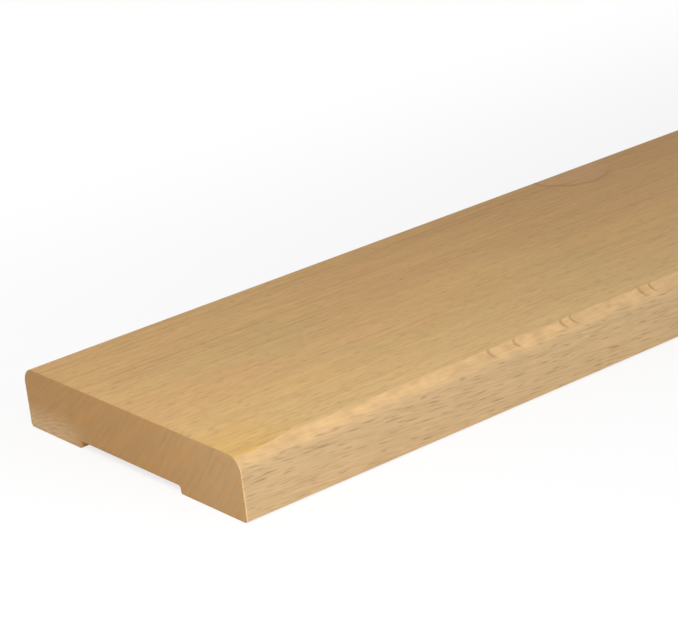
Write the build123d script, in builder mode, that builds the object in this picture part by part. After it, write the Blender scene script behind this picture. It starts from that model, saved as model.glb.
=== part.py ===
from build123d import *
import os

# Solid beech door threshold: one moulded board that covers the floor joint under a door.
# X runs along the board, Y across it and Z up, in millimetres. The origin is under the middle of the
# board, on the plane that its two feet stand on. The front long side faces -Y.

# Board
board_length = 900.0
board_width = 90.0
board_thickness = 16.0

# Moulded edges
tread_round = 4.0  # radius of the two long upper edges
foot_round = 1.0  # radius of the two long lower edges

# Relief groove in the underside, which leaves a bearing foot along each side
front_foot_width = 25.5
back_foot_width = 22.5
groove_depth = 2.0
groove_root_round = 0.8  # where a groove wall meets the groove's ceiling
groove_lip_round = 0.5  # where a groove wall meets the foot

# Sawn ends
end_easing = 0.3  # the sharp edges of both ends are sanded off to this radius

# Sizes that follow from those above
groove_width = board_width - front_foot_width - back_foot_width
groove_front_wall = front_foot_width - board_width / 2
root_radius = min(groove_root_round, groove_depth / 2)
lip_radius = min(groove_lip_round, groove_depth / 3)

os.makedirs("parts", exist_ok=True)

with BuildPart() as threshold:
    # The section that the moulder cuts, drawn on the near end and looking along the board
    with BuildSketch(Plane.YZ.offset(-board_length / 2)) as section:
        Rectangle(board_width, board_thickness, align=(Align.CENTER, Align.MIN))
        with Locations((groove_front_wall, 0)):
            Rectangle(groove_width, groove_depth, align=(Align.MIN, Align.MIN), mode=Mode.SUBTRACT)

        tread_corners = section.vertices().group_by(Axis.Y)[-1]
        fillet(tread_corners, tread_round)

        # Along the floor line come the front corner, the groove's two lips and the back corner
        floor_corners = section.vertices().group_by(Axis.Y)[0].sort_by(Axis.X)
        fillet([floor_corners[0], floor_corners[-1]], foot_round)
        lip_corners = section.vertices().group_by(Axis.Y)[0].sort_by(Axis.X)[1:-1]
        fillet(lip_corners, lip_radius)

        root_corners = section.vertices().filter_by_position(Axis.Y, groove_depth, groove_depth)
        fillet(root_corners, root_radius)
    extrude(amount=board_length)

    # Both ends are crosscut square, and their edges eased
    end_faces = threshold.faces().filter_by(Axis.X)
    fillet(end_faces.edges(), end_easing)

threshold.part.label = "threshold"
export_step(threshold.part, "parts/threshold.step")
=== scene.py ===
# %% [markdown]
# # A beech door threshold
# A threshold is the flat board under a door. It covers the joint between two floors. This one is a
# single length of beech: a moulder has rounded its two upper edges and milled a shallow relief groove
# into its underside, and a saw has cut its ends square.
#
# The imported CAD model is the frame for everything here. It is loaded first, and its box is kept
# for the sizes of the board.

# %% Load the imported board and keep its box
from math import radians, tau

import bmesh
import bpy
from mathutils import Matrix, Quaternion, Vector


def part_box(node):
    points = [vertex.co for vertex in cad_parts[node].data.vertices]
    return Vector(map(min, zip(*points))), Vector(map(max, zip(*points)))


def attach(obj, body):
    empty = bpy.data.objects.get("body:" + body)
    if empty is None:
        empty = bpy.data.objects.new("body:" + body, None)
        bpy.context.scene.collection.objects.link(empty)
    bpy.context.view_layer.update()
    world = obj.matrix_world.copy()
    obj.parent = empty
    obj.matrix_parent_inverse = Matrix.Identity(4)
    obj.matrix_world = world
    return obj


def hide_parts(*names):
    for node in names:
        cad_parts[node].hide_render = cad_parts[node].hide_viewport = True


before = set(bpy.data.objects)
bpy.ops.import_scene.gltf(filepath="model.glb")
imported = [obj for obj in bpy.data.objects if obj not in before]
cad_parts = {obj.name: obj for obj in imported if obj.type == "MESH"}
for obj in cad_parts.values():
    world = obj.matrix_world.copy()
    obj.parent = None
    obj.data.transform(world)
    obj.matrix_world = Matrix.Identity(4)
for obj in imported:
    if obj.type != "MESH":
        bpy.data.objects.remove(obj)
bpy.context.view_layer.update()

low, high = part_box("threshold")
length, width, thickness = Vector(high) - Vector(low)
print("board, in metres:", round(length, 4), round(width, 4), round(thickness, 4))

# %% [markdown]
# ## The camera
# The picture was taken with a long lens from the front left, a little above the board, and the camera
# was rolled by a few degrees. A camera can be aimed by eye, but it is exact to work it out once from
# the board's edges. Then only a place, a heading, a dip, a roll and a lens are left to write down.

# %% Stand the camera at the picture's viewpoint
MM = 0.001
CAMERA_PLACE = Vector((-742.54, -485.93, 243.96)) * MM
CAMERA_HEADING = radians(53.661)  # from the +X axis towards +Y
CAMERA_DIP = radians(20.548)  # below the horizon
CAMERA_ROLL = radians(-6.664)
CAMERA_LENS = 138.4  # millimetres
SENSOR_WIDTH = 36.0  # millimetres
CLIP_START = 0.01

camera_data = bpy.data.cameras.new("picture_camera")
camera_data.sensor_width = SENSOR_WIDTH
camera_data.lens = CAMERA_LENS
camera_data.clip_start = CLIP_START
camera = bpy.data.objects.new("picture_camera", camera_data)
bpy.context.collection.objects.link(camera)
heading = Quaternion((0, 0, 1), CAMERA_HEADING)
dip = Quaternion((0, 1, 0), CAMERA_DIP)
view_line = heading @ dip @ Vector((1, 0, 0))
camera.rotation_mode = "QUATERNION"
camera.rotation_quaternion = view_line.to_track_quat("-Z", "Y") @ Quaternion((0, 0, 1), CAMERA_ROLL)
camera.location = CAMERA_PLACE
bpy.context.scene.camera = camera
print("camera looks along", tuple(round(c, 3) for c in view_line))

# %% [markdown]
# ## The moulded section
# The CAD mesh has only a few facets on each rounded edge, so a finer board takes its place. It is made
# the way the moulder makes it: first the section, then the length. The section starts as a flat plane
# standing on the near end. Bisect cuts mark the groove, the groove's face is deleted, and the rest is
# dissolved into one outline. Vertex bevels then round its corners.

# %% Sizes of the section
GROOVE_DEPTH = 2.0 * MM
FRONT_FOOT_WIDTH = 25.5 * MM
BACK_FOOT_WIDTH = 22.5 * MM

front_y, back_y = low[1], high[1]
near_x, far_x = low[0], high[0]
floor_z, tread_z = low[2], high[2]
groove_front = front_y + FRONT_FOOT_WIDTH
groove_back = back_y - BACK_FOOT_WIDTH
groove_top = floor_z + GROOVE_DEPTH
print("groove runs from y =", round(groove_front, 4), "to", round(groove_back, 4))


# %% Helpers for picking and cutting a mesh in edit mode
def pick(kind, passes):
    """Select only the vertices, edges or faces whose centre passes a test."""
    bpy.ops.mesh.select_mode(type=kind)
    bpy.ops.mesh.select_all(action="DESELECT")
    mesh = bmesh.from_edit_mesh(bpy.context.object.data)
    chosen = 0
    if kind == "VERT":
        parts = [(part, part.co) for part in mesh.verts]
    elif kind == "EDGE":
        parts = [(part, (part.verts[0].co + part.verts[1].co) / 2) for part in mesh.edges]
    else:
        parts = [(part, part.calc_center_median()) for part in mesh.faces]
    for part, centre in parts:
        if passes(centre):
            part.select_set(True)
            chosen += 1
    mesh.select_flush_mode()
    bmesh.update_edit_mesh(bpy.context.object.data)
    return chosen


def cut(point, normal):
    """Cut the whole mesh along a plane."""
    bpy.ops.mesh.select_all(action="SELECT")
    bpy.ops.mesh.bisect(plane_co=point, plane_no=normal)


# %% Draw the section on the near end
STRAIGHT = radians(1)  # a bend smaller than this is no corner

bpy.ops.object.select_all(action="DESELECT")
middle_of_end = (near_x, (front_y + back_y) / 2, (floor_z + tread_z) / 2)
bpy.ops.mesh.primitive_plane_add(size=1.0, location=middle_of_end, rotation=(0, radians(90), 0))
board = bpy.context.object
board.name = "beech_board"
board.data.name = "beech_board"
board.scale = (thickness, width, 1.0)
bpy.ops.object.transform_apply(location=True, rotation=True, scale=True)

bpy.ops.object.mode_set(mode="EDIT")
cut((near_x, groove_front, 0), (0, 1, 0))
cut((near_x, groove_back, 0), (0, 1, 0))
cut((near_x, 0, groove_top), (0, 0, 1))
pick("FACE", lambda c: groove_front < c.y < groove_back and c.z < groove_top)
bpy.ops.mesh.delete(type="FACE")
bpy.ops.mesh.select_all(action="SELECT")
bpy.ops.mesh.dissolve_limited(angle_limit=STRAIGHT)
section_corners = len(bmesh.from_edit_mesh(board.data).verts)
print("corners of the section before rounding:", section_corners)

# %% Round the section's corners
NEAR = 0.01 * MM  # two places closer than this count as the same
TREAD_ROUND = 4.0 * MM
TREAD_STEPS = 16
FOOT_ROUND = 1.0 * MM
FOOT_STEPS = 6
GROOVE_ROOT_ROUND = 0.8 * MM
GROOVE_ROOT_STEPS = 6
GROOVE_LIP_ROUND = 0.5 * MM
GROOVE_LIP_STEPS = 5


def round_corners(passes, radius, segments):
    """Turn the chosen corners of the section into arcs."""
    count = pick("VERT", passes)
    bpy.ops.mesh.bevel(offset_type="OFFSET", offset=radius, segments=segments, affect="VERTICES")
    print(count, "corners rounded to", round(radius / MM, 2), "mm")


def on_floor(c):
    return c.z < floor_z + NEAR


def on_long_side(c):
    return abs(c.y) > abs(front_y) - NEAR


def at_groove_wall(c):
    return min(abs(c.y - groove_front), abs(c.y - groove_back)) < NEAR


def at_groove_root(c):
    return at_groove_wall(c) and abs(c.z - groove_top) < NEAR


round_corners(lambda c: on_floor(c) and at_groove_wall(c), GROOVE_LIP_ROUND, GROOVE_LIP_STEPS)
round_corners(at_groove_root, GROOVE_ROOT_ROUND, GROOVE_ROOT_STEPS)
round_corners(lambda c: on_floor(c) and on_long_side(c), FOOT_ROUND, FOOT_STEPS)
round_corners(lambda c: c.z > tread_z - NEAR, TREAD_ROUND, TREAD_STEPS)

# %% [markdown]
# ## The length and the eased ends
# Extruding the section along the board makes the whole moulding in one move. The saw leaves sharp
# edges round both ends, and a stroke of sandpaper takes them off, so those edges get a very small
# bevel.

# %% Extrude the section and ease the ends
END_EASING = 0.3 * MM
END_STEPS = 3

bpy.ops.mesh.select_mode(type="FACE")
bpy.ops.mesh.select_all(action="SELECT")
bpy.ops.mesh.extrude_region_move(TRANSFORM_OT_translate={"value": (length, 0, 0)})
bpy.ops.mesh.select_all(action="SELECT")
bpy.ops.mesh.normals_make_consistent(inside=False)


def at_end(c):
    return c.x < near_x + NEAR or c.x > far_x - NEAR


eased = pick("EDGE", at_end)
bpy.ops.mesh.bevel(offset_type="OFFSET", offset=END_EASING, segments=END_STEPS, affect="EDGES")
print(eased, "end edges eased")

# %% [markdown]
# ## Laying the board out flat
# When the model is exported, its colours are painted on a square picture, which is wrapped round the
# board by a UV map. In one piece the board is ten times as long as it is wide, and most of the square
# would stay empty. So the board is cut across in three places, seams are marked there, along the feet
# and round the ends, and the strips are unrolled and packed together. The shorter the strips, the
# better they fill the square, and the sharper the grain. The export looks for the map under the name
# OFBake.

# %% Cut the board in four and mark the seams
CUT_PLACES = (-length / 4, 0.0, length / 4)


def on_seam(c):
    along_foot = on_long_side(c) and abs(c.z - floor_z - FOOT_ROUND) < NEAR
    at_cut = min(abs(c.x - place) for place in CUT_PLACES) < NEAR
    return at_cut or at_end(c) or along_foot


for cut_place in CUT_PLACES:
    cut((cut_place, 0, 0), (1, 0, 0))
seams = pick("EDGE", on_seam)
bpy.ops.mesh.mark_seam(clear=False)
print(seams, "seam edges")

# %% Unwrap the strips and measure how sharp the picture will be
UV_MARGIN = 0.003
PICTURE_SIZE = 1024  # pixels, for the measurement only

bpy.ops.mesh.select_mode(type="FACE")
bpy.ops.mesh.select_all(action="SELECT")
bpy.ops.uv.unwrap(method="ANGLE_BASED", margin=0.0)
bpy.ops.uv.select_all(action="SELECT")
bpy.ops.uv.average_islands_scale()
bpy.ops.uv.pack_islands(rotate_method="AXIS_ALIGNED", shape_method="CONVEX", margin=UV_MARGIN)
layout = bmesh.from_edit_mesh(board.data)
uv_layer = layout.loops.layers.uv.active
long_edge = max(layout.edges, key=lambda edge: edge.calc_length())
corner = long_edge.link_loops[0]
uv_length = (corner[uv_layer].uv - corner.link_loop_next[uv_layer].uv).length
edge_mm = long_edge.calc_length() / MM
print(round(uv_length * PICTURE_SIZE / edge_mm, 2), "pixels to a millimetre")
bpy.ops.object.mode_set(mode="OBJECT")
board.data.uv_layers.active.name = "OFBake"

# %% [markdown]
# ## Smooth shading
# The rounded edges are shaded smooth. Weighted normals then lean every normal towards its largest
# face, so the broad faces stay truly flat and only the rounds catch the light as curves.

# %% Shade the board
SMOOTH_BELOW = radians(40)

bpy.ops.object.shade_smooth_by_angle(angle=SMOOTH_BELOW)
bpy.ops.object.modifier_add(type="WEIGHTED_NORMAL")
board.modifiers["WeightedNormal"].keep_sharp = True
bpy.ops.object.modifier_apply(modifier="WeightedNormal")
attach(board, "root")
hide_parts("threshold")
print("board has", len(board.data.polygons), "faces")


# %% [markdown]
# ## Building node trees by hand
# A material is a tree of nodes. These small helpers add a node, feed its sockets with plain values or
# with links, and hand back what comes out, so that a tree reads like a sum on paper.

# %% Helpers for sums
def feed(tree, socket, value):
    """Give a socket a link where the value comes from another node, and a plain value otherwise."""
    if isinstance(value, bpy.types.NodeSocket):
        tree.links.new(value, socket)
    else:
        socket.default_value = value


def calc(tree, operation, *values):
    """One step of arithmetic."""
    node = tree.nodes.new("ShaderNodeMath")
    node.operation = operation
    for socket, value in zip(node.inputs, values):
        feed(tree, socket, value)
    return node.outputs["Value"]


def times(tree, first, second):
    return calc(tree, "MULTIPLY", first, second)


def line(tree, value, slope, start):
    """A straight line: the value times a slope, plus a start."""
    return calc(tree, "MULTIPLY_ADD", value, slope, start)


def distance(tree, first, second):
    """The long side of a right triangle."""
    return calc(tree, "SQRT", calc(tree, "MULTIPLY_ADD", first, first, times(tree, second, second)))


def fade(tree, value, start, end):
    """A smooth step from 0 at start to 1 at end."""
    node = tree.nodes.new("ShaderNodeMapRange")
    node.interpolation_type = "SMOOTHSTEP"
    feed(tree, node.inputs["Value"], value)
    feed(tree, node.inputs["From Min"], start)
    feed(tree, node.inputs["From Max"], end)
    return node.outputs["Result"]


# %% Helpers for noise and colour
def spread(tree, values, sizes):
    """A vector of three values, each measured in its own size."""
    node = tree.nodes.new("ShaderNodeCombineXYZ")
    for socket, value, size in zip(node.inputs, values, sizes):
        feed(tree, socket, calc(tree, "DIVIDE", value, size))
    return node.outputs["Vector"]


def noise(tree, values, sizes, detail=2.0):
    """Soft noise from -1 to 1, with waves of about these sizes."""
    node = tree.nodes.new("ShaderNodeTexNoise")
    feed(tree, node.inputs["Vector"], spread(tree, values, sizes))
    node.inputs["Scale"].default_value = 1.0
    node.inputs["Detail"].default_value = detail
    return line(tree, node.outputs["Fac"], 2.0, -1.0)


def blend(tree, amount, first, second):
    """Mix two colours."""
    node = tree.nodes.new("ShaderNodeMix")
    node.data_type = "RGBA"
    feed(tree, node.inputs["Factor"], amount)
    feed(tree, node.inputs["A"], first)
    feed(tree, node.inputs["B"], second)
    return node.outputs["Result"]


def shade(tree, colour, amount):
    """Multiply a colour by a value."""
    node = tree.nodes.new("ShaderNodeVectorMath")
    node.operation = "SCALE"
    feed(tree, node.inputs["Vector"], colour)
    feed(tree, node.inputs["Scale"], amount)
    return node.outputs["Vector"]


# %% [markdown]
# ## The figure of beech
# Wood is solid, so its pattern is made in space and not painted on. Each face then shows what the saw
# would show there. Both the long faces and the sawn ends use this figure, so it is a node group, with
# one output for each part of it. It works in millimetres, because wood is thought of in millimetres.

# %% Start the figure group
FIGURE_PARTS = (
    "Ring", "Layer", "Fleck", "Dash", "Grain", "Band", "Hair",
    "Tone", "Cast", "Arc", "Patch", "Bud", "Scar",
)

fig = bpy.data.node_groups.new("beech_figure", "ShaderNodeTree")
fig.interface.new_socket("Position", in_out="INPUT", socket_type="NodeSocketVector")
for part in FIGURE_PARTS:
    fig.interface.new_socket(part, in_out="OUTPUT", socket_type="NodeSocketFloat")
figure_in = fig.nodes.new("NodeGroupInput")
figure_out = fig.nodes.new("NodeGroupOutput")
split = fig.nodes.new("ShaderNodeSeparateXYZ")
feed(fig, split.inputs["Vector"], shade(fig, figure_in.outputs["Position"], 1 / MM))
solid = tuple(split.outputs)
x_mm, y_mm, z_mm = solid
print("the figure has", len(FIGURE_PARTS), "outputs")

# %% [markdown]
# ### An old bud
# Near the back edge the picture shows the mark of a bud that the tree grew over. It is a soft lump a
# couple of centimetres across, with a thin brown loop in it. It pushes the growth rings aside.

# %% The bud scar
BUD = (-269.0, 42.0, 16.0)  # along, across and up
BUD_SIZE = (13.0, 14.0, 8.0)
BUD_WAVES = (9.0, 5.0, 5.0)
BUD_ROUGHNESS = 0.3
BUD_LOOP = 0.4  # where in the lump the loop lies
BUD_LOOP_WIDTH = 0.09
BUD_OPEN = (13.0, 1.0)  # the loop fades out between these places along the bud

bud_far = 0.0
for value, middle, size in zip(solid, BUD, BUD_SIZE):
    off = calc(fig, "DIVIDE", calc(fig, "SUBTRACT", value, middle), size)
    bud_far = calc(fig, "MULTIPLY_ADD", off, off, bud_far)
bud_far = line(fig, noise(fig, solid, BUD_WAVES), BUD_ROUGHNESS, bud_far)
bud = calc(fig, "EXPONENT", times(fig, bud_far, -1.0))
loop = calc(fig, "ABSOLUTE", calc(fig, "SUBTRACT", bud, BUD_LOOP))
loop_end = fade(fig, x_mm, BUD[0] + BUD_OPEN[0], BUD[0] + BUD_OPEN[1])
feed(fig, figure_out.inputs["Bud"], bud)
feed(fig, figure_out.inputs["Scar"], times(fig, fade(fig, loop, BUD_LOOP_WIDTH, 0.0), loop_end))
print("the bud lies at", BUD, "mm")

# %% [markdown]
# ### Growth rings
# The rings are shells round the pith, the middle of the trunk. On the end they run up at a slant
# towards the front, so the pith lies above and behind the board. The tread cuts them as long fine
# lines, about two millimetres apart. Each year ends in a thin darker line, in some years more than in
# others.

# %% The shape of the rings
PITH = (140.0, 150.0)  # across and up
RING_WANDER = 2.0
WANDER_WAVES = (160.0, 60.0, 1.0)
RING_RIPPLE = 0.2
RIPPLE_WAVES = (40.0, 5.0, 5.0)
BUD_PUSH = -2.5

wander = times(fig, noise(fig, (x_mm, y_mm, 0.0), WANDER_WAVES), RING_WANDER)
ring_up = calc(fig, "ADD", calc(fig, "SUBTRACT", z_mm, PITH[1]), wander)
ring_over = calc(fig, "SUBTRACT", y_mm, PITH[0])
ripple = times(fig, noise(fig, solid, RIPPLE_WAVES), RING_RIPPLE)
ring_radius = calc(fig, "ADD", distance(fig, ring_up, ring_over), line(fig, bud, BUD_PUSH, ripple))
pith_away = distance(fig, *PITH)
print("the pith lies at", PITH, "mm across and up")

# %% The years and the layers of the wood
RING_WIDTH = 1.5
UNEVEN_WAVES = (7.0, 1.0, 1.0)
LATE_START = (0.3, 0.8)  # parts of a year
LATE_END = (1.0, 0.85)
YEAR_WAVES = (45.0, 3.5, 1.0)
YEAR_PEAKS = (-0.3, 0.5)
LAYER_WAVES = (40.0, 0.9, 11.0)

uneven = noise(fig, (ring_radius, 0.0, 0.0), UNEVEN_WAVES, detail=1.0)
year = calc(fig, "FRACT", calc(fig, "ADD", calc(fig, "DIVIDE", ring_radius, RING_WIDTH), uneven))
late_wood = times(fig, fade(fig, year, *LATE_START), fade(fig, year, *LATE_END))
strong_year = fade(fig, noise(fig, (x_mm, ring_radius, 0.0), YEAR_WAVES), *YEAR_PEAKS)
feed(fig, figure_out.inputs["Ring"], times(fig, late_wood, strong_year))
ring_turn = times(fig, calc(fig, "ARCTAN2", ring_up, ring_over), pith_away)
layer = noise(fig, (x_mm, ring_radius, ring_turn), LAYER_WAVES)
feed(fig, figure_out.inputs["Layer"], layer)
print("a year is", RING_WIDTH, "mm wide")

# %% [markdown]
# ### Rays
# Rays are thin ribbons that run out from the pith. Cut across, as on the front side, they are the
# short dark flecks that beech is known by. The trunk wasn't quite straight, so the fibres and the
# flecks fall a little along the board. A noise that is stretched along the fibres makes long thin
# spots. Only its peaks are kept, so the spots end in points, and they differ in length and depth.

# %% The ray flecks
FIBRE_FALL = 0.055  # how far the fibres fall for each millimetre along the board
RAY_WAVES = (4.2, 9.0, 0.22)  # along the board, out from the pith and round it
RAY_PEAKS = (0.15, 0.75)

level = line(fig, x_mm, FIBRE_FALL, ring_up)
ray_radius = distance(fig, level, ring_over)
ray_turn = times(fig, calc(fig, "ARCTAN2", level, ring_over), pith_away)
ray = noise(fig, (x_mm, ray_radius, ray_turn), RAY_WAVES, detail=0.0)
feed(fig, figure_out.inputs["Fleck"], fade(fig, ray, *RAY_PEAKS))
print("rays have waves of", RAY_WAVES, "mm")

# %% [markdown]
# ### Fibres and tone
# On the planed tread only a few fibres are torn open. They are short dark dashes on an even ground.
# Below them lie long faint lines, and broad clouds of a rosier and of a greener tone. The front has
# finer hairs, which follow the slope of the flecks.

# %% The fibres and the clouds
DASH_WAVES = (2.8, 0.7, 0.7)
DASH_PEAKS = (0.1, 0.7)
GRAIN_WAVES = (7.5, 1.1, 1.1)
HAIR_WAVES = (7.0, 0.4, 0.4)
CLOUD_WAVES = {"Band": (80.0, 3.6, 3.6), "Tone": (75.0, 17.0, 17.0), "Cast": (55.0, 30.0, 30.0)}

dash = noise(fig, solid, DASH_WAVES, detail=0.0)
feed(fig, figure_out.inputs["Dash"], fade(fig, dash, *DASH_PEAKS))
feed(fig, figure_out.inputs["Grain"], noise(fig, solid, GRAIN_WAVES))
feed(fig, figure_out.inputs["Hair"], noise(fig, (x_mm, y_mm, level), HAIR_WAVES, detail=1.0))
for part, waves in CLOUD_WAVES.items():
    feed(fig, figure_out.inputs[part], noise(fig, solid, waves, detail=1.0))
print("broad clouds:", ", ".join(CLOUD_WAVES))

# %% [markdown]
# ### Arcs on the front round
# Where the front edge is rounded, the cutter meets some rings at a flat angle, and each of those
# leaves a small arc. They come in groups. Between them the round is mottled.

# %% The arcs and the mottling
ARC_PLACES = (75.5, 84.0, 99.5, 103.0, 126.0, 130.0)  # from the near end
ARC_PERIOD = 190.0
ARC_REACH = 10.0
ARC_MIDDLE = 0.5  # how far up the round the arcs point
ARC_SWAY = 3.0
SWAY_WAVES = (40.0, 1.0, 1.0)
ARC_WOBBLE = 0.45
WOBBLE_WAVES = (5.0, 1.5, 1.0)
ARC_LINE = (0.7, 0.1)
ROUND_START = (0.08, 0.3)  # parts of the way up the round
ROUND_END = (0.92, 0.7)
PATCH_WAVES = (4.5, 2.5, 1.0)

climb = calc(fig, "DIVIDE", calc(fig, "SUBTRACT", y_mm, front_y / MM), TREAD_ROUND / MM)
from_middle = calc(fig, "SUBTRACT", climb, ARC_MIDDLE)
bow = times(fig, times(fig, from_middle, from_middle), ARC_REACH)
sway = times(fig, noise(fig, (x_mm, 0.0, 0.0), SWAY_WAVES), ARC_SWAY)
sway = line(fig, noise(fig, (x_mm, y_mm, 0.0), WOBBLE_WAVES), ARC_WOBBLE, sway)
from_end = calc(fig, "SUBTRACT", calc(fig, "SUBTRACT", x_mm, near_x / MM), calc(fig, "ADD", bow, sway))
from_end = calc(fig, "MODULO", from_end, ARC_PERIOD)
arcs = 0.0
for arc_place in ARC_PLACES:
    gap = calc(fig, "ABSOLUTE", calc(fig, "SUBTRACT", from_end, arc_place))
    arcs = calc(fig, "ADD", fade(fig, gap, *ARC_LINE), arcs)
on_round = times(fig, fade(fig, climb, *ROUND_START), fade(fig, climb, *ROUND_END))
feed(fig, figure_out.inputs["Arc"], times(fig, arcs, on_round))
feed(fig, figure_out.inputs["Patch"], noise(fig, (x_mm, y_mm, 0.0), PATCH_WAVES, detail=1.0))
print("the figure group has", len(fig.nodes), "nodes")

# %% [markdown]
# ## The planed faces
# On the tread the wood is calm and golden near the front. Painted shade makes it darker and rosier
# towards the back and along the board, where the studio light falls off. The front round is a brighter
# peach, partly a painted highlight, with a scalloped upper edge and a few ring arcs. The front side is
# paler still, and there the rays show as dark flecks. Masks made from the place on the board say where
# each of these begins and ends.

# %% Helpers for wood materials
WOOD_SHEEN = 0.15


def start_material(name):
    """A new material with its shader, the place on the board and the figure group."""
    material = bpy.data.materials.new(name)
    material.use_nodes = True
    tree = material.node_tree
    shader = tree.nodes["Principled BSDF"]
    shader.inputs["Specular IOR Level"].default_value = WOOD_SHEEN
    where = tree.nodes.new("ShaderNodeTexCoord").outputs["Object"]
    figure = tree.nodes.new("ShaderNodeGroup")
    figure.node_tree = fig
    feed(tree, figure.inputs["Position"], where)
    place = tree.nodes.new("ShaderNodeSeparateXYZ")
    feed(tree, place.inputs["Vector"], where)
    return material, tree, shader, place.outputs, figure.outputs


def fade_from(tree, value, origin, reach):
    """A smooth step between two distances from an origin, in millimetres."""
    return fade(tree, value, origin + reach[0] * MM, origin + reach[1] * MM)


def add_bump(tree, shader, strength, depth, height):
    """Let a height tilt the shader's normal."""
    bump = tree.nodes.new("ShaderNodeBump")
    bump.inputs["Strength"].default_value = strength
    bump.inputs["Distance"].default_value = depth
    feed(tree, bump.inputs["Height"], height)
    feed(tree, shader.inputs["Normal"], bump.outputs["Normal"])


# %% Start the material and its masks
SCALLOP = 0.6 * MM
SPILL = 1.3 * MM  # how far the tread's colour runs over the round at the near end
SPILL_REACH = (16.0, 4.0)  # from the near end
FRONT_REACH = (3.45, 2.95)  # from the front
SIDE_REACH = (-1.0, -3.6)  # from the tread
BACK_MARGIN = 10.0 * MM
FAR_REACH = (-80.0, 260.0)  # from the near end

long_grain, wood, wood_shader, (wood_x, wood_y, wood_z), figure = start_material("beech_long_grain")
spill = fade_from(wood, wood_x, near_x, SPILL_REACH)
edge = line(wood, figure["Patch"], SCALLOP, line(wood, spill, SPILL, wood_y))
front = fade_from(wood, edge, front_y, FRONT_REACH)
side = fade_from(wood, wood_z, tread_z, SIDE_REACH)
back = fade(wood, wood_y, front_y, back_y + BACK_MARGIN)
far = fade_from(wood, wood_x, near_x, FAR_REACH)
print("started", long_grain.name)

# %% [markdown]
# ### The colour of the tread
# Two broad clouds mix a golden, a rosy and an olive tan. Along the front edge a paler tan is painted
# sheen. Painted shade darkens the wood towards the back and along the board, where the studio light
# falls off, and a small golden patch lies at the near front corner. The bud, the rings and the open
# fibres are drawn over that. Further along the board the grain is calmer.

# %% The ground of the tread
GOLDEN = (0.588, 0.373, 0.147, 1.0)
ROSY = (0.578, 0.352, 0.149, 1.0)
TONE_SPAN = (-0.35, 0.35)
OLIVE = (0.545, 0.366, 0.152, 1.0)
CAST_SPAN = (-0.1, 0.4)
# a paler tan along the front edge of the tread: painted sheen
FRONT_SHEEN_TAN = (0.592, 0.397, 0.173, 1.0)
CORNER_GOLD = (0.600, 0.360, 0.105, 1.0)
CORNER_REACH = (28.0, 4.0)  # from the front and from the near end
CORNER_SHARE = 0.75
# painted shade: darker and rosier towards the back and along the board, where the studio light falls
# off
FALLOFF_SHADE_BROWN = (0.385, 0.202, 0.066, 1.0)
FALLOFF_BACK = (0.3, 0.26)  # a slope along the board and a start
FALLOFF_FAR = 0.2

colour = blend(wood, fade(wood, figure["Tone"], *TONE_SPAN), GOLDEN, ROSY)
colour = blend(wood, fade(wood, figure["Cast"], *CAST_SPAN), colour, OLIVE)
near_front = fade_from(wood, wood_y, front_y, CORNER_REACH)
# painted sheen: the tread turns paler towards its front edge
colour = blend(wood, times(wood, near_front, CORNER_SHARE), colour, FRONT_SHEEN_TAN)
near_corner = times(wood, near_front, fade_from(wood, wood_x, near_x, CORNER_REACH))
colour = blend(wood, times(wood, near_corner, CORNER_SHARE), colour, CORNER_GOLD)
# painted shade of the light's fall-off towards the back and further along the board
painted_falloff = line(wood, back, line(wood, far, *FALLOFF_BACK), times(wood, far, FALLOFF_FAR))
colour = blend(wood, painted_falloff, colour, FALLOFF_SHADE_BROWN)
print("the ground uses", len(wood.nodes), "nodes")

# %% The marks on the tread
BUD_PINK = (0.540, 0.310, 0.160, 1.0)
BUD_SPAN = (0.2, 0.7)
BUD_SHARE = 0.28
RING_BROWN = (0.300, 0.150, 0.055, 1.0)
RING_SHARE = (0.18, 0.18)  # a slope towards the back and a start
SCAR_BROWN = (0.250, 0.110, 0.040, 1.0)
SCAR_SHARE = 0.42
GRAIN_DEPTH = (-0.05, 0.17)  # a slope along the board and a start
BAND_DEPTH = 0.075
BAND_LEVEL = 1.03
DASH_BROWN = (0.330, 0.185, 0.075, 1.0)
DASH_SHARE = (-0.12, 0.38)  # a slope along the board and a start

bud_pink = times(wood, fade(wood, figure["Bud"], *BUD_SPAN), BUD_SHARE)
colour = blend(wood, bud_pink, colour, BUD_PINK)
ring = times(wood, figure["Ring"], line(wood, back, *RING_SHARE))
colour = blend(wood, ring, colour, RING_BROWN)
colour = blend(wood, times(wood, figure["Scar"], SCAR_SHARE), colour, SCAR_BROWN)
grain = line(wood, figure["Grain"], line(wood, far, *GRAIN_DEPTH), 1.0)
colour = shade(wood, colour, grain)
colour = shade(wood, colour, line(wood, figure["Band"], BAND_DEPTH, BAND_LEVEL))
open_fibre = times(wood, figure["Dash"], line(wood, far, *DASH_SHARE))
colour = blend(wood, open_fibre, colour, DASH_BROWN)
print("the tread uses", len(wood.nodes), "nodes")

# %% [markdown]
# ### The colour of the front
# The round and the side replace the tread's colour where the front mask is on. The front foot's lower
# edge is painted lighter against the floor's shade, and the arrises, the sharp upright edges where the
# front side meets the ends, get a painted highlight.

# %% Colour the front round and side
# the round's peach tone, brighter than the tread and the side: partly a painted highlight
ROUND_PEACH_HIGHLIGHT = (0.645, 0.420, 0.203, 1.0)
SIDE_PALE = (0.580, 0.395, 0.205, 1.0)
MOTTLE_DEPTH = (-0.22, 0.26)  # a slope down the side and a start, as in the next two
HAIR_DEPTH = (0.05, 0.15)
FLECK_SHARE = (0.55, 0.12)
FLECK_BROWN = (0.290, 0.172, 0.080, 1.0)
ARC_SHARE = 0.5

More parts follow.
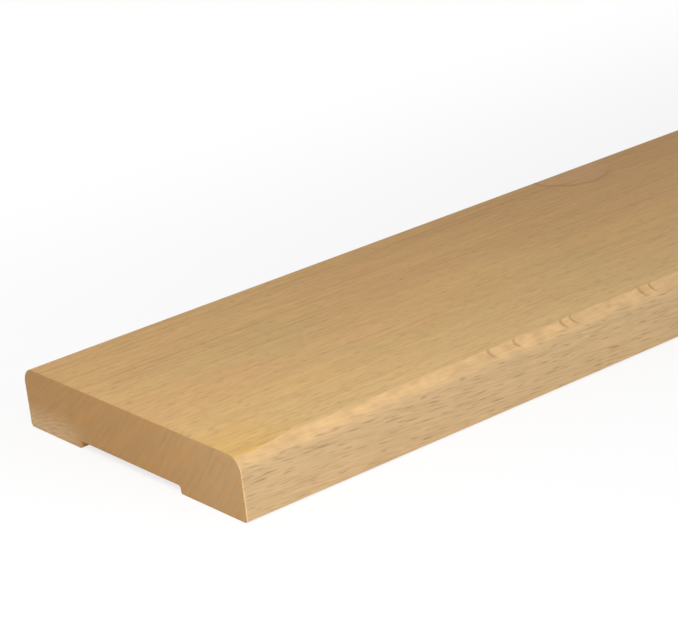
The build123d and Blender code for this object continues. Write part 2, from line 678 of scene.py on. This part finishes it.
# the round gets the brighter peach, partly a painted highlight
pale = blend(wood, side, ROUND_PEACH_HIGHLIGHT, SIDE_PALE)
pale = shade(wood, pale, line(wood, figure["Patch"], line(wood, side, *MOTTLE_DEPTH), 1.0))
pale = shade(wood, pale, line(wood, figure["Hair"], line(wood, side, *HAIR_DEPTH), 1.0))
colour = blend(wood, front, colour, pale)
colour = blend(wood, times(wood, figure["Arc"], ARC_SHARE), colour, RING_BROWN)
fleck = times(wood, figure["Fleck"], line(wood, side, *FLECK_SHARE))
colour = blend(wood, fleck, colour, FLECK_BROWN)
print("with the front there are", len(wood.nodes), "nodes")

# %% Paint light on the foot's lower edge and a highlight on the arrises
# painted light that lifts the floor's shade off the front foot's lower round
FOOT_PAINTED_LIGHT = 0.3
# painted highlight along the upright arrises at the ends
ARRIS_HIGHLIGHT = 0.3

foot_low = fade(wood, wood_z, floor_z + FOOT_ROUND, floor_z)
foot_front = fade(wood, wood_y, front_y + FOOT_ROUND, front_y)
# painted light on the front foot's lower round, where the floor shades it
colour = shade(wood, colour, line(wood, times(wood, foot_low, foot_front), FOOT_PAINTED_LIGHT, 1.0))
from_centre = calc(wood, "ABSOLUTE", wood_x)
by_end = fade(wood, from_centre, far_x - 2 * END_EASING, far_x - END_EASING)
arris = times(wood, times(wood, front, side), by_end)
# painted highlight on the upright arrises where the front side meets the ends
colour = shade(wood, colour, line(wood, arris, ARRIS_HIGHLIGHT, 1.0))
feed(wood, wood_shader.inputs["Base Color"], colour)
print("lightened edges are up to", 1 + FOOT_PAINTED_LIGHT, "times as light")

# %% [markdown]
# ### The feel of the planed faces
# Open fibres and rays are tiny hollows, and a bump makes them catch the light. They are also a little
# rougher than the planed wood round them.

# %% Roughness and bump of the planed faces
PLANED_ROUGHNESS = 0.54
HOLLOW_ROUGHNESS = 0.06  # more than the planed wood
PLANED_BUMP = 0.3
PLANED_DEPTH = 0.04 * MM

hollow = calc(wood, "ADD", figure["Dash"], fleck)
feed(wood, wood_shader.inputs["Roughness"], line(wood, hollow, HOLLOW_ROUGHNESS, PLANED_ROUGHNESS))
height = calc(wood, "SUBTRACT", figure["Grain"], hollow)
add_bump(wood, wood_shader, PLANED_BUMP, PLANED_DEPTH, height)
print("planed faces use", len(wood.nodes), "nodes")

# %% [markdown]
# ## The sawn ends
# End grain drinks in the light, so it is darker than the planed faces, with warmer clouds in it. The
# layers of the wood show on it as faint slanting streaks. In the lower back corner the saw has torn
# the wood. That patch is paler and broken, with faint arcs from the saw's teeth.

# %% Colour the ends
END_BROWN = (0.402, 0.226, 0.088, 1.0)
END_LIGHT = (0.425, 0.259, 0.113, 1.0)
END_WARM = (0.430, 0.222, 0.074, 1.0)
WARM_WAVES = (9.0 * MM, 6.0 * MM, 1.0)
WARM_SPAN = (0.0, 0.4)
WARM_SHARE = 0.6
WARM_DEPTH = 0.05
LAYER_DEPTH = 0.13

end_grain, end, end_shader, (_, end_y, end_z), end_figure = start_material("beech_end_grain")
end_colour = blend(end, fade(end, end_y, 0.0, front_y), END_BROWN, END_LIGHT)
cloud = noise(end, (end_y, end_z, 0.0), WARM_WAVES)
warm = times(end, fade(end, cloud, *WARM_SPAN), WARM_SHARE)
end_colour = blend(end, warm, end_colour, END_WARM)
end_colour = shade(end, end_colour, line(end, cloud, WARM_DEPTH, 1.0))
end_colour = shade(end, end_colour, line(end, end_figure["Layer"], LAYER_DEPTH, 1.0))
print("started", end_grain.name)

# %% Add the torn corner and the roughness
SAW_PALE = (0.600, 0.430, 0.250, 1.0)
SAW_CENTRE = (20.0, -45.0)  # across and up, in millimetres: the middle of the saw's arcs
SAW_PITCH = 1.1
SAW_SHAKE = 5.0
SAW_ARC_SHARE = 0.12
SAW_ACROSS = (-30.0, -12.0)  # from the back
SAW_UP = (9.0, 1.0)  # from the floor
TORN_WAVES = (3.0 * MM, 0.9 * MM, 1.0)
TORN_SHARE = (0.45, 0.5)  # a slope and a start
END_ROUGHNESS = 0.7
END_BUMP = 0.4
END_DEPTH = 0.06 * MM

saw_over = calc(end, "SUBTRACT", calc(end, "DIVIDE", end_y, MM), SAW_CENTRE[0])
saw_up = calc(end, "SUBTRACT", calc(end, "DIVIDE", end_z, MM), SAW_CENTRE[1])
shake = times(end, cloud, SAW_SHAKE)
saw_arcs = calc(end, "SINE", line(end, distance(end, saw_over, saw_up), tau / SAW_PITCH, shake))
torn = line(end, noise(end, (end_y, end_z, 0.0), TORN_WAVES), *TORN_SHARE)
saw_across = fade_from(end, end_y, back_y, SAW_ACROSS)
saw_corner = times(end, saw_across, fade_from(end, end_z, floor_z, SAW_UP))
saw_mark = times(end, saw_corner, line(end, saw_arcs, SAW_ARC_SHARE, torn))
feed(end, end_shader.inputs["Base Color"], blend(end, saw_mark, end_colour, SAW_PALE))
end_shader.inputs["Roughness"].default_value = END_ROUGHNESS
end_height = calc(end, "ADD", end_figure["Layer"], saw_mark)
add_bump(end, end_shader, END_BUMP, END_DEPTH, end_height)
print("ends use", len(end.nodes), "nodes")

# %% [markdown]
# ### Two materials on one board
# A mesh can carry several materials, each in a slot of its own. The first slot covers everything, and
# the flat faces of the ends are then given the second.

# %% Put both materials on the board
END_SLOT = 1

board.data.materials.append(long_grain)
board.data.materials.append(end_grain)
bpy.ops.object.select_all(action="DESELECT")
board.select_set(True)
bpy.context.view_layer.objects.active = board
bpy.ops.object.mode_set(mode="EDIT")
end_faces = pick("FACE", lambda c: c.x < near_x + END_EASING / 2 or c.x > far_x - END_EASING / 2)
board.active_material_index = END_SLOT
bpy.ops.object.material_slot_assign()
bpy.ops.object.mode_set(mode="OBJECT")
print(end_faces, "faces of end grain")

# %% [markdown]
# ## Floor, backdrop and light
# The picture is a cut-out on white. The floor and the world look white to the camera, but to the board
# they are only plain studio white, so they light it gently. The floor still keeps the board's shadow:
# a part of its real, lit surface shows beside the board, and fades out further away.

# %% White floor
FLOOR_SIZE = 12.0
FLOOR_GAP = 0.02 * MM  # two faces in exactly the same place would flicker
FLOOR_PAINT = (0.92, 0.92, 0.92, 1.0)
FLOOR_ROUGHNESS = 0.9

bpy.ops.object.select_all(action="DESELECT")
bpy.ops.mesh.primitive_plane_add(size=FLOOR_SIZE, location=(0, 0, floor_z - FLOOR_GAP))
floor = bpy.context.object
floor.name = "studio_floor"
floor_paint = bpy.data.materials.new("studio_white")
floor_paint.use_nodes = True
paint = floor_paint.node_tree
matte = paint.nodes["Principled BSDF"]
matte.inputs["Base Color"].default_value = FLOOR_PAINT
matte.inputs["Roughness"].default_value = FLOOR_ROUGHNESS
floor.data.materials.append(floor_paint)
print("the floor is", FLOOR_SIZE, "metres wide")

# %% Make the floor white to the camera and keep the shadow
FLOOR_WHITE = 1.0  # an emission of strength 1 renders as white
FLOOR_SHADOW = 0.25  # how much of the lit floor the camera sees beside the board
SHADOW_REACH = 180.0 * MM  # at this distance from the board the floor is plain white


def seen_directly(tree):
    """1 for what the camera sees, straight or through a reflection or glass, and 0 for light."""
    rays = tree.nodes.new("ShaderNodeLightPath").outputs
    seen = calc(tree, "MAXIMUM", rays["Is Camera Ray"], rays["Is Glossy Ray"])
    return calc(tree, "MAXIMUM", seen, rays["Is Transmission Ray"])


def beyond(tree, value, half):
    """How far a place lies outside the board along one axis."""
    return calc(tree, "MAXIMUM", calc(tree, "SUBTRACT", calc(tree, "ABSOLUTE", value), half), 0.0)


floor_place = paint.nodes.new("ShaderNodeSeparateXYZ")
feed(paint, floor_place.inputs["Vector"], paint.nodes.new("ShaderNodeTexCoord").outputs["Object"])
outside_x = beyond(paint, floor_place.outputs["X"], length / 2)
outside_y = beyond(paint, floor_place.outputs["Y"], width / 2)
away = fade(paint, distance(paint, outside_x, outside_y), 0.0, SHADOW_REACH)
whiteness = line(paint, away, FLOOR_SHADOW, 1.0 - FLOOR_SHADOW)
glow = paint.nodes.new("ShaderNodeEmission")
glow.inputs["Strength"].default_value = FLOOR_WHITE
mixed = paint.nodes.new("ShaderNodeMixShader")
feed(paint, mixed.inputs["Fac"], times(paint, seen_directly(paint), whiteness))
feed(paint, mixed.inputs[1], matte.outputs["BSDF"])
feed(paint, mixed.inputs[2], glow.outputs["Emission"])
feed(paint, paint.nodes["Material Output"].inputs["Surface"], mixed.outputs["Shader"])
print("the shadow fades out over", round(SHADOW_REACH / MM), "mm")

# %% White world
WORLD_LEVEL = 0.46  # the light that the world gives
WORLD_WHITE = (1.0, 1.0, 1.0, 1.0)

world = bpy.data.worlds.new("studio_world")
bpy.context.scene.world = world
world.use_nodes = True
sky = world.node_tree
backdrop = sky.nodes["Background"]
backdrop.inputs["Color"].default_value = WORLD_WHITE
sky_strength = line(sky, seen_directly(sky), 1.0 - WORLD_LEVEL, WORLD_LEVEL)
feed(sky, backdrop.inputs["Strength"], sky_strength)
print("the world lights the board at", WORLD_LEVEL)

# %% [markdown]
# ### Two soft lamps
# A lamp over the near end makes that end of the front edge the brightest. A larger one, further off,
# fills the front side.

# %% Lamps
KEY_PLACE = (near_x - 0.16, -0.15, 0.30)
KEY_AIM = (near_x + 0.05, -0.02, 0)
KEY_SIZE = 0.25
KEY_POWER = 1.12
SIDE_PLACE = (0.3, -1.3, 0.4)
SIDE_AIM = (0, 0, 0)
SIDE_SIZE = 0.8
SIDE_POWER = 4.1


def soft_lamp(name, place, aim, size, power):
    """A square soft lamp that looks at a point."""
    data = bpy.data.lights.new(name, "AREA")
    data.size = size
    data.energy = power
    lamp = bpy.data.objects.new(name, data)
    bpy.context.collection.objects.link(lamp)
    lamp.location = place
    lamp.rotation_mode = "QUATERNION"
    lamp.rotation_quaternion = (Vector(aim) - Vector(place)).to_track_quat("-Z", "Y")
    print(name, "shines with", power, "watts")


soft_lamp("key_lamp", KEY_PLACE, KEY_AIM, KEY_SIZE, KEY_POWER)
soft_lamp("side_lamp", SIDE_PLACE, SIDE_AIM, SIDE_SIZE, SIDE_POWER)
bpy.context.scene.view_settings.view_transform = "Standard"
